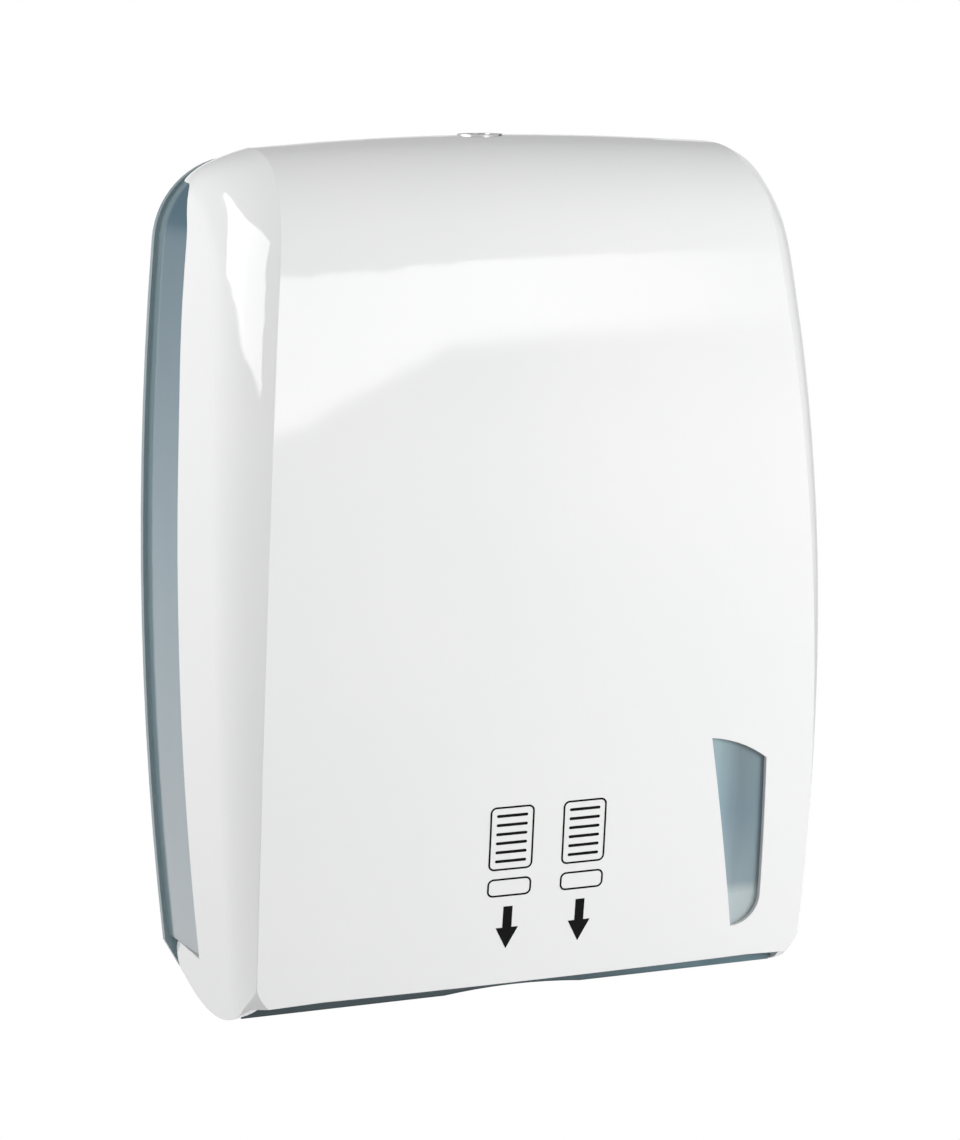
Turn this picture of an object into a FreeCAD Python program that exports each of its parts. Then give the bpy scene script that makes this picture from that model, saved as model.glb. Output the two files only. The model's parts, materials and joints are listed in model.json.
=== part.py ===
import FreeCAD, Part
import math
import os

# Wall dispenser for two columns of folded toilet paper, every piece as its own solid.
# Millimetres. The wall is the plane y = 0, the front faces -Y, +X is the viewer's right, +Z is up.
# The origin lies on the wall, in the middle of the four wall-screw holes.

# Overall size, from which the pieces take their places
COVER_HALF_WIDTH = 148.8
COVER_DEPTH = 145.6
RIDGE_Z = 198.0
RIM_BOTTOM = -206.0

# Wall screws
HOLE_SPACING_X = 190.0
HOLE_SPACING_Z = 250.0
HOLE_RADIUS = 2.75
HOLE_BOSS_RADIUS = 8.0
HOLE_BOSS_HEIGHT = 2.5

# Fits
GAP = 1.0
SEAT = 0.05
RUN = 0.08
SPOT_CLEAR = 0.3

# Casing outline seen from the front: barrel sides, arched top, round top corners
SIDE_RADIUS = 1800.0
SIDE_APEX_Z = -20.0
ARCH_RADIUS = 1020.0
RIM_REVEAL = 3.6
RIM_HALF_WIDTH = COVER_HALF_WIDTH + RIM_REVEAL
RIM_BELOW_RIDGE = 5.0
RIM_TOP = RIDGE_Z - RIM_BELOW_RIDGE
RIM_CORNER = 42.0
RIM_CHAMFER_X = 6.3
RIM_CHAMFER_Z = 14.0
RIM_THICKNESS = 4.0
RIM_STEP = 2.2
RIM_WIDTH = 8.0

# Cover: centre-line profile seen from the side
FRONT_RADIUS = 930.0
FRONT_APEX_Z = -20.0
BROW_RADIUS = 58.0
RIDGE_SHARE = 5 / 13
RIDGE_Y = -COVER_DEPTH * RIDGE_SHARE
TOP_RADIUS = 170.0

# Cover: sections across, from side wall over the flank roll and the crease to the front sheet
COVER_WALL = 2.6
SIDE_LEAN = 0.015
CREASE_INSET = 10.2
CREASE_HALF_WIDTH = COVER_HALF_WIDTH - CREASE_INSET
CREASE_APEX = -125.0
CREASE_RADIUS = 2400.0
SHEET_CROWN = 5.0
ROLL_DEPTH = 34.0
ROLL_GROWTH = 0.035
PIVOT_Y = 4.0
PIVOT_BELOW_RIDGE = 98.0
PIVOT_Z = RIDGE_Z - PIVOT_BELOW_RIDGE
PIVOT_CLEAR = 10.0
FOOT_DROP = 19.0
FOOT_Z = RIM_BOTTOM - FOOT_DROP
FRONT_STEPS = 6
FAN_STEPS = 10
REACH = 400.0
OVERRUN = 6.0

# Cover: edges
COVER_REAR_Y = -7.0
CUT_FRONT_Y = -48.0
CUT_RISE = 16.0
CUT_BOTTOM = RIM_BOTTOM + CUT_RISE
CUT_BELOW_RIM = 15.5
CUT_TOP = RIM_TOP - CUT_BELOW_RIM
CUT_CORNER = 4.0
HINGE_Y = -16.0
HINGE_RISE = 8.5
HINGE_Z = RIM_BOTTOM + HINGE_RISE
KNUCKLE_RADIUS = 8.2
CHEEK_LOW_Y = -55.0
CHEEK_DROP = 7.5
CHEEK_LOW_Z = RIM_BOTTOM - CHEEK_DROP
SKIRT_BEHIND_FRONT = 29.6
SKIRT_FRONT_Y = SKIRT_BEHIND_FRONT - COVER_DEPTH
SKIRT_RISE = 9.5
SKIRT_FRONT_Z = RIM_BOTTOM + SKIRT_RISE
FRONT_EDGE_RISE = 12.8
FRONT_EDGE_Z = RIM_BOTTOM + FRONT_EDGE_RISE
FACET_INSET = 10.4
FACET_BEHIND_FRONT = 17.6
FACET_RISE = 32.0
FACET_RADIUS = 34.0
FACET_TURN = math.radians(35.0)
FACET_OUTWARD = (-0.786, -0.618, 0.0)

# Level window in the front and its pane: each point as inset from the side and rise from the rim's foot
WINDOW_TOP_LEFT = (65.5, 124.2)
WINDOW_TOP_RIGHT = (35.7, 112.0)
WINDOW_ARCH = (48.7, 119.6)
WINDOW_SIDE_LOW = (34.3, 43.5)
WINDOW_BEND = (37.9, 33.4)
WINDOW_BOTTOM = (49.0, 28.4)
PANE_LAP = 8.0
PANE_THICKNESS = 2.0
PANE_GAP = 0.1
POST_RADIUS = 1.6
POST_LENGTH = 4.6
POSTS = ((65.5, 106.0), (54.3, 44.0), (31.0, 84.0))
PUSH_NUT_RADIUS = 3.0
PUSH_NUT_THICKNESS = 0.8
PUSH_NUT_TILT = 0.7

# Lock on the ridge
LOCK_FLANGE_RADIUS = 10.6
LOCK_FLANGE_THICKNESS = 1.4
LOCK_SEAT_DROP = 1.0
LOCK_PAD_DROP = 1.4
LOCK_BODY_RADIUS = 9.0
LOCK_BODY_LENGTH = 20.0
BARREL_RADIUS = 6.0
BARREL_RECESS = 0.2
BARREL_PLAY = 0.5
KEYWAY_LENGTH = 7.0
KEYWAY_WIDTH = 1.6
KEYWAY_DEPTH = 6.0
NUT_ACROSS_FLATS = 23.0
NUT_THICKNESS = 4.0
CAM_SQUARE = 6.0
CAM_THICKNESS = 2.5
CAM_HALF_WIDTH = 4.5
CAM_HUB_RADIUS = 7.0
CAM_REACH = 20.0
CAM_CORNER = 3.0
WASHER_RADIUS = 5.0
WASHER_THICKNESS = 1.0
CAM_SCREW_LENGTH = 7.0

# Rear tray
BACK_THICKNESS = 3.0
TRAY_WALL = 2.4
TRAY_CLEAR = 1.4
TRAY_HALF_WIDTH = COVER_HALF_WIDTH - COVER_WALL - TRAY_CLEAR
TRAY_BELOW_RIM = 6.6
TRAY_TOP = RIM_TOP - TRAY_BELOW_RIM
TRAY_CORNER = 46.0
TRAY_LAP = 6.0
TRAY_FRONT_Y = CUT_FRONT_Y - TRAY_LAP
TRAY_RISE = 18.0
TRAY_LOW = RIM_BOTTOM + TRAY_RISE
PANEL_SUNK = 1.2
PANEL_FRONT_HALF = COVER_HALF_WIDTH - PANEL_SUNK
PANEL_CLEAR = 1.2
BOSS_RADIUS = 4.5
BOSS_FRONT_Y = -9.0
RIB_PLACES = (-60.0, -30.0, 30.0, 60.0)
RIB_WIDTH = 2.0
RIB_FRONT_Y = -7.0
RIB_LOW = RIM_BOTTOM + 56.0
RIB_HIGH = RIDGE_Z - 48.0
NOTCH_CLEAR = 5.0
LOCK_NOTCH_HALF = LOCK_BODY_RADIUS + NOTCH_CLEAR
LOCK_NOTCH_REAR_Y = RIDGE_Y + LOCK_BODY_RADIUS + NOTCH_CLEAR

# Hinge
LUG_THICKNESS = 7.0
LUG_NOSE = 8.0
LUG_FRONT_Y = HINGE_Y - LUG_NOSE
LUG_RISE = 19.0
LUG_TOP = RIM_BOTTOM + LUG_RISE
HINGE_PLAY = 0.5
PIN_RADIUS = 2.5
PIN_HEAD_RADIUS = 4.0
PIN_HEAD_THICKNESS = 1.6
PIN_END_PLAY = 0.3
KNUCKLE_LENGTH = 3.0
KNUCKLE_SKIN = 1.1

# Column divider and side guides
DIVIDER_THICKNESS = 2.5
DIVIDER_BEHIND_FRONT = 31.6
DIVIDER_FRONT_Y = DIVIDER_BEHIND_FRONT - COVER_DEPTH
DIVIDER_RISE = 38.0
DIVIDER_LOW = RIM_BOTTOM + DIVIDER_RISE
DIVIDER_BELOW_RIDGE = 60.0
DIVIDER_HIGH = RIDGE_Z - DIVIDER_BELOW_RIDGE
DIVIDER_SLOPE = 60.0
DIVIDER_CORNER = 14.0
DIVIDER_SCREW_X = 10.0
DIVIDER_SCREW_Z = 92.0
GUIDE_INSET = 28.8
GUIDE_X = COVER_HALF_WIDTH - GUIDE_INSET
GUIDE_THICKNESS = 2.2
GUIDE_BEHIND_FRONT = 63.6
GUIDE_FRONT_Y = GUIDE_BEHIND_FRONT - COVER_DEPTH
GUIDE_RISE = 40.0
GUIDE_LOW = RIM_BOTTOM + GUIDE_RISE
GUIDE_BELOW_RIDGE = 80.0
GUIDE_HIGH = RIDGE_Z - GUIDE_BELOW_RIDGE
GUIDE_CORNER = 18.0
GUIDE_SCREW_OFFSET = 9.5
GUIDE_SCREW_X = GUIDE_X + GUIDE_SCREW_OFFSET
GUIDE_SCREW_Z = 84.0
TAB_THICKNESS = 2.4
TAB_HALF_HEIGHT = 9.0
TAB_MARGIN = 6.0

# Outlet tray
FLOOR_LOW = RIM_BOTTOM
FLOOR_THICKNESS = 3.4
FLOOR_BREAK_BEHIND_FRONT = 47.6
FLOOR_BREAK_Y = FLOOR_BREAK_BEHIND_FRONT - COVER_DEPTH
SHELF_RISE = 10.6
SHELF_STEP_RUN = 1.5
LIP_RISE = 16.0
LIP_TOP = RIM_BOTTOM + LIP_RISE
LIP_STEP = 2.0
LIP_STEP_Y = TRAY_FRONT_Y - 3.0
OUTLET_LUG_GAP = 4.0
OUTLET_WIDE_Y = LUG_FRONT_Y - OUTLET_LUG_GAP
OUTLET_PIN_GAP = 6.9
FLANGE_RISE = 34.0
FLANGE_TOP = RIM_BOTTOM + FLANGE_RISE
OUTLET_SHIFT = 0.5
OUTLET_X = GUIDE_X / 2 + OUTLET_SHIFT
OUTLET_Y = -68.0
OUTLET_MARGIN = 11.0
OUTLET_LENGTH = GUIDE_X - 2 * OUTLET_MARGIN
OUTLET_WIDTH = 50.0
OUTLET_CORNER = 12.0
THROAT_HEIGHT = 6.0
THROAT_WALL = 2.0
SCOOP_WIDTH = 70.0
SCOOP_DEPTH = 2.0
SCOOP_BEHIND_FRONT = 55.6
SCOOP_REAR_Y = SCOOP_BEHIND_FRONT - COVER_DEPTH
OUTLET_SCREW_X = 80.0
OUTLET_SCREW_RISE = 25.0
OUTLET_SCREW_Z = RIM_BOTTOM + OUTLET_SCREW_RISE

# Screws
SCREW_RADIUS = 1.5
SCREW_HEAD_RADIUS = 3.0
SCREW_HEAD_EDGE = 1.2
SCREW_HEAD_DOME = 0.8
SCREW_DOME_RADIUS = 2.1
SCREW_LENGTH = 9.0
SCREW_CLEAR = 0.2
PILOT_SKIN = 0.8

# Strike that the cam turns behind
STRIKE_THICKNESS = 2.0
STRIKE_WIDTH = 20.0
STRIKE_NOTCH_GAP = 3.0
STRIKE_NEAR_X = LOCK_NOTCH_HALF + STRIKE_NOTCH_GAP
STRIKE_FAR_X = STRIKE_NEAR_X + STRIKE_WIDTH
STRIKE_REAR_Y = -20.0
STRIKE_LIP_SIDE_GAP = 2.0
STRIKE_LIP_NEAR_X = LOCK_BODY_RADIUS + STRIKE_LIP_SIDE_GAP
STRIKE_LIP_GAP = 0.7
STRIKE_LIP_DROP = 10.0
STRIKE_BOSS_LENGTH = 4.0
STRIKE_SCREW_X = STRIKE_NEAR_X + STRIKE_WIDTH / 2
STRIKE_SCREWS_Y = (-28.0, -44.0)
STRIKE_SCREW_LENGTH = 6.4

V = FreeCAD.Vector
AXIS_X = V(1, 0, 0)
AXIS_Y = V(0, 1, 0)
AXIS_Z = V(0, 0, 1)


def line(start, end):
    return Part.LineSegment(start, end).toShape()


def arc(start, middle, end):
    return Part.Arc(start, middle, end).toShape()


def box(x_range, y_range, z_range):
    """Box between the lower and higher value of each range."""
    low = V(min(x_range), min(y_range), min(z_range))
    high = V(max(x_range), max(y_range), max(z_range))
    size = high - low
    return Part.makeBox(size.x, size.y, size.z, low)


def cylinder(radius, start, end):
    """Round bar between two points."""
    span = end - start
    return Part.makeCylinder(radius, span.Length, start, span)


def prism(edges, span):
    """Solid made by sliding the closed outline along the span."""
    return Part.Face(Part.Wire(edges)).extrude(span)


def polygon(points):
    """Edges of a closed outline with straight sides."""
    following = points[1:] + points[:1]
    return [line(start, end) for start, end in zip(points, following)]


def rounded_polygon(points, radius):
    """Edges of a closed outline whose corners are rounded with one radius."""
    edges = []
    starts = []
    ends = []
    for index, corner in enumerate(points):
        back = (points[index - 1] - corner).normalize()
        ahead = (points[(index + 1) % len(points)] - corner).normalize()
        half_angle = back.getAngle(ahead) / 2
        trim = radius / math.tan(half_angle)
        inward = (back + ahead).normalize() * (radius / math.sin(half_angle) - radius)
        starts.append(corner + back * trim)
        ends.append(corner + ahead * trim)
        edges.append(arc(starts[-1], corner + inward, ends[-1]))
    for index, start in enumerate(starts):
        edges.append(line(ends[index - 1], start))
    return Part.__sortEdges__(edges)


def mirrored(shape):
    """The same piece on the other side of the plane x = 0."""
    return shape.mirror(V(0, 0, 0), AXIS_X)


def both_sides(shape):
    return shape.fuse(mirrored(shape))


def circles_meet(centre_a, radius_a, centre_b, radius_b, side):
    """Point where two circles in one plane cross, on the chosen side of the line between centres."""
    span = (centre_b[0] - centre_a[0], centre_b[1] - centre_a[1])
    distance = math.hypot(*span)
    along = (distance ** 2 + radius_a ** 2 - radius_b ** 2) / (2 * distance)
    across = side * math.sqrt(radius_a ** 2 - along ** 2)
    unit = (span[0] / distance, span[1] / distance)
    return (
        centre_a[0] + along * unit[0] - across * unit[1],
        centre_a[1] + along * unit[1] + across * unit[0],
    )


def circle_point_towards(centre, radius, target):
    """Point of the circle in the direction of the target."""
    span = (target[0] - centre[0], target[1] - centre[1])
    share = radius / math.hypot(*span)
    return (centre[0] + span[0] * share, centre[1] + span[1] * share)


def side_drop(z):
    """How far the barrel side falls in from its widest line at height z."""
    return SIDE_RADIUS - math.sqrt(SIDE_RADIUS ** 2 - (z - SIDE_APEX_Z) ** 2)


def casing_outline(half_width, top, corner, bottom, y):
    """Closed front-view outline with barrel sides, round top corners and an arched top, at depth y."""
    side_centre = (half_width - SIDE_RADIUS, SIDE_APEX_Z)
    arch_centre = (0.0, top - ARCH_RADIUS)
    corner_centre = circles_meet(
        side_centre, SIDE_RADIUS - corner, arch_centre, ARCH_RADIUS - corner, 1)
    side_end = circle_point_towards(side_centre, SIDE_RADIUS, corner_centre)
    arch_end = circle_point_towards(arch_centre, ARCH_RADIUS, corner_centre)
    corner_unit = math.hypot(side_end[0] + arch_end[0] - 2 * corner_centre[0],
                             side_end[1] + arch_end[1] - 2 * corner_centre[1])
    corner_middle = (
        corner_centre[0] + corner * (side_end[0] + arch_end[0] - 2 * corner_centre[0]) / corner_unit,
        corner_centre[1] + corner * (side_end[1] + arch_end[1] - 2 * corner_centre[1]) / corner_unit,
    )
    foot = (half_width - side_drop(bottom), bottom)
    middle_z = (bottom + side_end[1]) / 2
    middle = (half_width - side_drop(middle_z), middle_z)

    def right(point):
        return V(point[0], y, point[1])

    def left(point):
        return V(-point[0], y, point[1])

    return [
        line(left(foot), right(foot)),
        arc(right(foot), right(middle), right(side_end)),
        arc(right(side_end), right(corner_middle), right(arch_end)),
        arc(right(arch_end), V(0, y, top), left(arch_end)),
        arc(left(arch_end), left(corner_middle), left(side_end)),
        arc(left(side_end), left(middle), left(foot)),
    ]


def cover_profile():
    """Centre line of the cover's outer face: bowed front, brow roll and domed top."""
    front_centre = (FRONT_RADIUS - COVER_DEPTH, FRONT_APEX_Z)
    top_centre = (RIDGE_Y, RIDGE_Z - TOP_RADIUS)
    brow_centre = circles_meet(
        front_centre, FRONT_RADIUS - BROW_RADIUS, top_centre, TOP_RADIUS - BROW_RADIUS, -1)
    front_end = circle_point_towards(front_centre, FRONT_RADIUS, brow_centre)
    top_end = circle_point_towards(top_centre, TOP_RADIUS, brow_centre)
    low_z = FOOT_Z - REACH / 10
    low = (front_centre[0] - math.sqrt(FRONT_RADIUS ** 2 - (low_z - FRONT_APEX_Z) ** 2), low_z)
    rear_y = PIVOT_Y + REACH / 20
    rear = (rear_y, top_centre[1] + math.sqrt(TOP_RADIUS ** 2 - (rear_y - RIDGE_Y) ** 2))

    def stretch(start, centre, radius, end):
        between = ((start[0] + end[0]) / 2, (start[1] + end[1]) / 2)
        middle = circle_point_towards(centre, radius, between)
        return arc(V(0, *start), V(0, *middle), V(0, *end))

    return Part.Wire([
        stretch(low, front_centre, FRONT_RADIUS, front_end),
        stretch(front_end, brow_centre, BROW_RADIUS, top_end),
        stretch(top_end, top_centre, TOP_RADIUS, rear),
    ])


PROFILE = cover_profile()


class Station:
    """One section plane of the cover: it holds the X direction and a ray from the casing's inside."""

    def __init__(self, start, ray, path_length):
        self.start = start
        self.ray = ray
        self.crown = self.meet_profile()
        self.path_length = path_length

    def meet_profile(self):
        ray_edge = line(self.start, self.start + self.ray * REACH)
        return PROFILE.distToShape(ray_edge)[1][0][0]

    def place(self, x, reach):
        point = self.start + self.ray * reach
        return V(x, point.y, point.z)


def cover_stations(overrun):
    """Section planes from the foot of the cover up its front and, as a fan, over the brow and the top."""
    forward = V(0, -1, 0)
    foot = FOOT_Z - overrun
    stations = []
    for step in range(FRONT_STEPS):
        height = foot + (PIVOT_Z - foot) * step / FRONT_STEPS
        stations.append(Station(V(0, PIVOT_Y, height), forward, height))
    pivot = V(0, PIVOT_Y, PIVOT_Z)
    stations.append(Station(pivot, forward, PIVOT_Z))
    for step in range(1, FAN_STEPS + 1):
        turn = math.radians(90.0 * step / FAN_STEPS)
        station = Station(pivot, V(0, -math.cos(turn), math.sin(turn)), 0.0)
        advance = (station.crown - stations[-1].crown).Length
        station.path_length = stations[-1].path_length + advance
        stations.append(station)
    return stations


def wall_half_width(point):
    """Half width of the cover's outer side wall beside the given point."""
    return COVER_HALF_WIDTH - side_drop(point.z) + SIDE_LEAN * (CUT_FRONT_Y - point.y)


def arc_handles(start, tangent, end):
    """Two inner control points of the round curve that leaves start along the tangent and ends at end."""
    chord = end - start
    unit = chord / chord.Length
    end_tangent = unit * (2 * unit.dot(tangent)) - tangent
    turn = 2 * math.acos(unit.dot(tangent))
    radius = chord.Length / (2 * math.sin(turn / 2))
    handle = radius * math.tan(turn / 4) * 4 / 3
    return start + tangent * handle, end - end_tangent * handle


def cover_section(station, inset, overrun):
    """Control points of half a cover section, from the wall's end to the middle of the front sheet."""
    crown_reach = (station.crown - station.start).Length
    crease_reach = crown_reach - SHEET_CROWN
    roll_reach = crease_reach - (ROLL_DEPTH + ROLL_GROWTH * station.path_length)
    end_reach = PIVOT_CLEAR - overrun
    crease_x = CREASE_HALF_WIDTH - (station.path_length - CREASE_APEX) ** 2 / (2 * CREASE_RADIUS)

    # Local plane: x across and y along the ray
    wall_end = V(wall_half_width(station.place(0, end_reach)), end_reach, 0)
    roll_start = V(wall_half_width(station.place(0, roll_reach)), roll_reach, 0)
    crease = V(crease_x, crease_reach, 0)
    along_wall = (roll_start - wall_end).normalize()
    wall_normal = V(along_wall.y, -along_wall.x, 0)
    chord = (crease - roll_start).normalize()
    roll_end = chord * (2 * chord.dot(along_wall)) - along_wall
    roll_normal = V(roll_end.y, -roll_end.x, 0)
    crown_turn = 2 * math.atan(SHEET_CROWN / crease_x)
    sheet_normal = V(math.sin(crown_turn), math.cos(crown_turn), 0)

    wall_end = wall_end - wall_normal * inset
    roll_start = roll_start - wall_normal * inset
    both_normals = (roll_normal + sheet_normal) / (1 + roll_normal.dot(sheet_normal))
    crease = crease - both_normals * inset
    first_handle, second_handle = arc_handles(roll_start, along_wall, crease)
    crown_handle = V(0, 2 * (crown_reach - inset) - crease.y, 0)
    points = (wall_end, roll_start, first_handle, second_handle, crease, crown_handle)
    return [station.place(point.x, point.y) for point in points]


def strip(rows, parameters):
    """Surface through rows of points along the stations, with the rows as its control lines across."""
    guides = []
    for row in rows:
        guide = Part.BSplineCurve()
        guide.interpolate(Points=row, Parameters=parameters)
        guides.append(guide)
    degree = len(rows) - 1
    surface = Part.BSplineSurface()
    surface.buildFromPolesMultsKnots(
        [guide.getPoles() for guide in guides],
        [degree + 1, degree + 1], guides[0].getMultiplicities(),
        [0.0, 1.0], guides[0].getKnots(),
        False, False, degree, guides[0].Degree)
    return surface


def facet_cutter(inset):
    """Prisms outside the facets at the front panel's lower corners, which turn under in an arc."""
    outward = V(*FACET_OUTWARD).normalize()
    along = outward.cross(AXIS_Z)
    size = REACH / 4
    radius = FACET_RADIUS - inset
    crease = V(FACET_INSET - COVER_HALF_WIDTH, FACET_BEHIND_FRONT - COVER_DEPTH, RIM_BOTTOM + FACET_RISE)
    centre = crease - outward * FACET_RADIUS - along * size

    def place(out, down):
        return centre + outward * out - AXIS_Z * down

    def turned(angle):
        return place(radius * math.cos(angle), radius * math.sin(angle))

    end = turned(FACET_TURN)
    far = end - outward * (size * math.sin(FACET_TURN)) - AXIS_Z * (size * math.cos(FACET_TURN))
    corners = [far, place(size, size), place(size, 0), turned(0)]
    edges = [arc(turned(0), turned(FACET_TURN / 2), end), line(end, far)]
    edges += [line(first, second) for first, second in zip(corners, corners[1:])]
    return both_sides(prism(edges, along * (2 * size)))


def cover_form(inset, overrun):
    """Solid inside the cover's outer face, moved inwards by the inset."""
    stations = cover_stations(overrun)
    first = stations[0].path_length
    whole = stations[-1].path_length - first
    parameters = [(station.path_length - first) / whole for station in stations]
    halves = [cover_section(station, inset, overrun) for station in stations]
    right = [list(row) for row in zip(*halves)]
    left = [[V(-point.x, point.y, point.z) for point in row] for row in right]
    wall_end, roll_start, first_handle, second_handle, crease, crown = range(6)
    strips = [
        strip([left[wall_end], right[wall_end]], parameters),
        strip([right[wall_end], right[roll_start]], parameters),
        strip([right[row] for row in (roll_start, first_handle, second_handle, crease)], parameters),
        strip([right[crease], right[crown], left[crease]], parameters),
        strip([left[row] for row in (crease, second_handle, first_handle, roll_start)], parameters),
        strip([left[roll_start], left[wall_end]], parameters),
    ]
    faces = [surface.toShape() for surface in strips]
    for end in (parameters[0], parameters[-1]):
        faces.append(Part.Face(Part.Wire([surface.vIso(end).toShape() for surface in strips])))
    shell = Part.makeShell(faces)
    shell.sewShape()
    return Part.makeSolid(shell).cut(facet_cutter(inset)).Solids[0]


def side_cut(clear):
    """Prism of the cut-out in the cover's sides, made smaller by the clearance."""
    front = CUT_FRONT_Y + clear
    low = CUT_BOTTOM + clear
    top = CUT_TOP - clear
    corner = CUT_CORNER - clear
    slant = corner * (1 - math.sqrt(0.5))
    x = -REACH / 2
    start = V(x, -COVER_REAR_Y, low)
    edges = [
        line(start, V(x, front, low)),
        line(V(x, front, low), V(x, front, top - corner)),
        arc(V(x, front, top - corner), V(x, front + slant, top - slant), V(x, front + corner, top)),
        line(V(x, front + corner, top), V(x, -COVER_REAR_Y, top)),
        line(V(x, -COVER_REAR_Y, top), start),
    ]
    return prism(edges, V(REACH, 0, 0))


def skirt_cut():
    """Prism of what lies below the cover's lower edge: round knuckles, full cheeks, straight front."""
    x = -REACH / 2
    rise = CUT_BOTTOM - HINGE_Z
    knuckle_top = V(x, HINGE_Y + math.sqrt(KNUCKLE_RADIUS ** 2 - rise ** 2), CUT_BOTTOM)
    knuckle_back = V(x, HINGE_Y + KNUCKLE_RADIUS, HINGE_Z)
    knuckle_low = V(x, HINGE_Y, HINGE_Z - KNUCKLE_RADIUS)
    cheek_low = V(x, CHEEK_LOW_Y, CHEEK_LOW_Z)
    skirt_front = V(x, SKIRT_FRONT_Y, SKIRT_FRONT_Z)
    front = V(x, -COVER_DEPTH, FRONT_EDGE_Z)
    front_low = V(x, -COVER_DEPTH - GAP, FOOT_Z - REACH / 10)
    rear_low = V(x, -COVER_REAR_Y, FOOT_Z - REACH / 10)
    rear = V(x, -COVER_REAR_Y, CUT_BOTTOM)
    edges = [
        arc(knuckle_top, knuckle_back, knuckle_low),
        arc(knuckle_low, cheek_low, skirt_front),
        line(skirt_front, front),
        line(front, front_low),
        line(front_low, rear_low),
        line(rear_low, rear),
        line(rear, knuckle_top),
    ]
    return prism(edges, V(REACH, 0, 0))


def front_place(point):
    """Place (x, z) on the front of a point given as inset from the side and rise from the rim's foot."""
    return (COVER_HALF_WIDTH - point[0], RIM_BOTTOM + point[1])


def window_outline(lap):
    """Closed outline of the level window in the front view, grown by the lap."""
    y = -COVER_DEPTH - REACH / 10

    def place(point, dx, dz):
        x, z = front_place(point)
        return V(x + dx * lap, y, z + dz * lap)

    top_left = place(WINDOW_TOP_LEFT, -1.0, 0.6)
    arch = place(WINDOW_ARCH, 0.4, 1.0)
    top_right = place(WINDOW_TOP_RIGHT, 1.0, 0.5)
    side_low = place(WINDOW_SIDE_LOW, 1.0, -0.1)
    bend = place(WINDOW_BEND, 0.8, -0.55)
    bottom = place(WINDOW_BOTTOM, -0.6, -0.75)
    return [
        arc(top_left, arch, top_right),
        line(top_right, side_low),
        arc(side_low, bend, bottom),
        line(bottom, top_left),
    ]


def window_prism(lap):
    return prism(window_outline(lap), V(0, REACH / 4, 0))


def inner_face_y(form, place):
    """Depth at which a line along Y through the place enters the form from the front."""
    probe = line(V(place[0], -COVER_DEPTH - GAP, place[1]), V(place[0], CUT_FRONT_Y, place[1]))
    return form.common(probe).BoundBox.YMin


OUTER_FORM = cover_form(0.0, 0.0)
INNER_FORM = cover_form(COVER_WALL, OVERRUN)
POST_PLACES = [front_place(post) for post in POSTS]
POST_ROOTS = [inner_face_y(INNER_FORM, place) for place in POST_PLACES]

# Places that the hinge takes from the cheek's wall, from outside to inside
CHEEK_OUTER_X = wall_half_width(V(0, HINGE_Y, HINGE_Z))
BLIND_END_X = CHEEK_OUTER_X - KNUCKLE_SKIN
KNUCKLE_INNER_X = CHEEK_OUTER_X - COVER_WALL - KNUCKLE_LENGTH
LUG_OUTER_X = KNUCKLE_INNER_X - HINGE_PLAY
LUG_INNER_X = LUG_OUTER_X - LUG_THICKNESS
PIN_HEAD_END_X = LUG_INNER_X - SEAT - PIN_HEAD_THICKNESS
OUTLET_REAR_HALF = PIN_HEAD_END_X - OUTLET_PIN_GAP

# Heights of the lock's pieces, from the flange's seat down
LOCK_SEAT_Z = RIDGE_Z - LOCK_SEAT_DROP
LOCK_PAD_Z = RIDGE_Z - COVER_WALL - LOCK_PAD_DROP
NUT_CORNER_RADIUS = NUT_ACROSS_FLATS / math.sqrt(3)
LOCK_BODY_LOW = LOCK_SEAT_Z - LOCK_BODY_LENGTH
CAM_TOP = LOCK_BODY_LOW - BARREL_PLAY
CAM_LOW = CAM_TOP - CAM_THICKNESS
WASHER_LOW = CAM_LOW - WASHER_THICKNESS

# Height of the strike under its bosses on the tray's top wall
STRIKE_TOP = TRAY_TOP - TRAY_WALL - STRIKE_BOSS_LENGTH
STRIKE_LOW = STRIKE_TOP - STRIKE_THICKNESS
STRIKE_LIP_REAR_Y = RIDGE_Y - CAM_HALF_WIDTH - STRIKE_LIP_GAP

# Front of the tabs and flanges that are screwed to the tray's bosses
TAB_FRONT_Y = BOSS_FRONT_Y - TAB_THICKNESS

WALL_HOLES = [(x * HOLE_SPACING_X / 2, z * HOLE_SPACING_Z / 2) for x in (-1, 1) for z in (-1, 1)]
DIVIDER_SCREWS = [(DIVIDER_SCREW_X, z * DIVIDER_SCREW_Z) for z in (-1, 1)]
GUIDE_SCREWS = [(x * GUIDE_SCREW_X, z * GUIDE_SCREW_Z) for x in (-1, 1) for z in (-1, 1)]
OUTLET_SCREWS = [(x * OUTLET_SCREW_X, OUTLET_SCREW_Z) for x in (-1, 0, 1)]


def wall_bar(place, radius, start_y, end_y):
    """Round bar square to the wall at a place (x, z)."""
    return cylinder(radius, V(place[0], start_y, place[1]), V(place[0], end_y, place[1]))


def lock_bar(radius, low, high):
    """Round bar about the lock's axis between two heights."""
    return cylinder(radius, V(0, RIDGE_Y, low), V(0, RIDGE_Y, high))


def hinge_bar(radius, near_x, far_x):
    """Round bar about the right half of the hinge axis."""
    return cylinder(radius, V(near_x, HINGE_Y, HINGE_Z), V(far_x, HINGE_Y, HINGE_Z))


def screw(seat, direction, length):
    """Pan-head screw with the underside of its head on the seat."""
    edge = seat - direction * SCREW_HEAD_EDGE
    dome = Part.makeCone(SCREW_HEAD_RADIUS, SCREW_DOME_RADIUS, SCREW_HEAD_DOME, edge, direction * -1)
    head = cylinder(SCREW_HEAD_RADIUS, seat, edge)
    return cylinder(SCREW_RADIUS, seat, seat + direction * length).fuse([head, dome]).removeSplitter()


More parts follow.
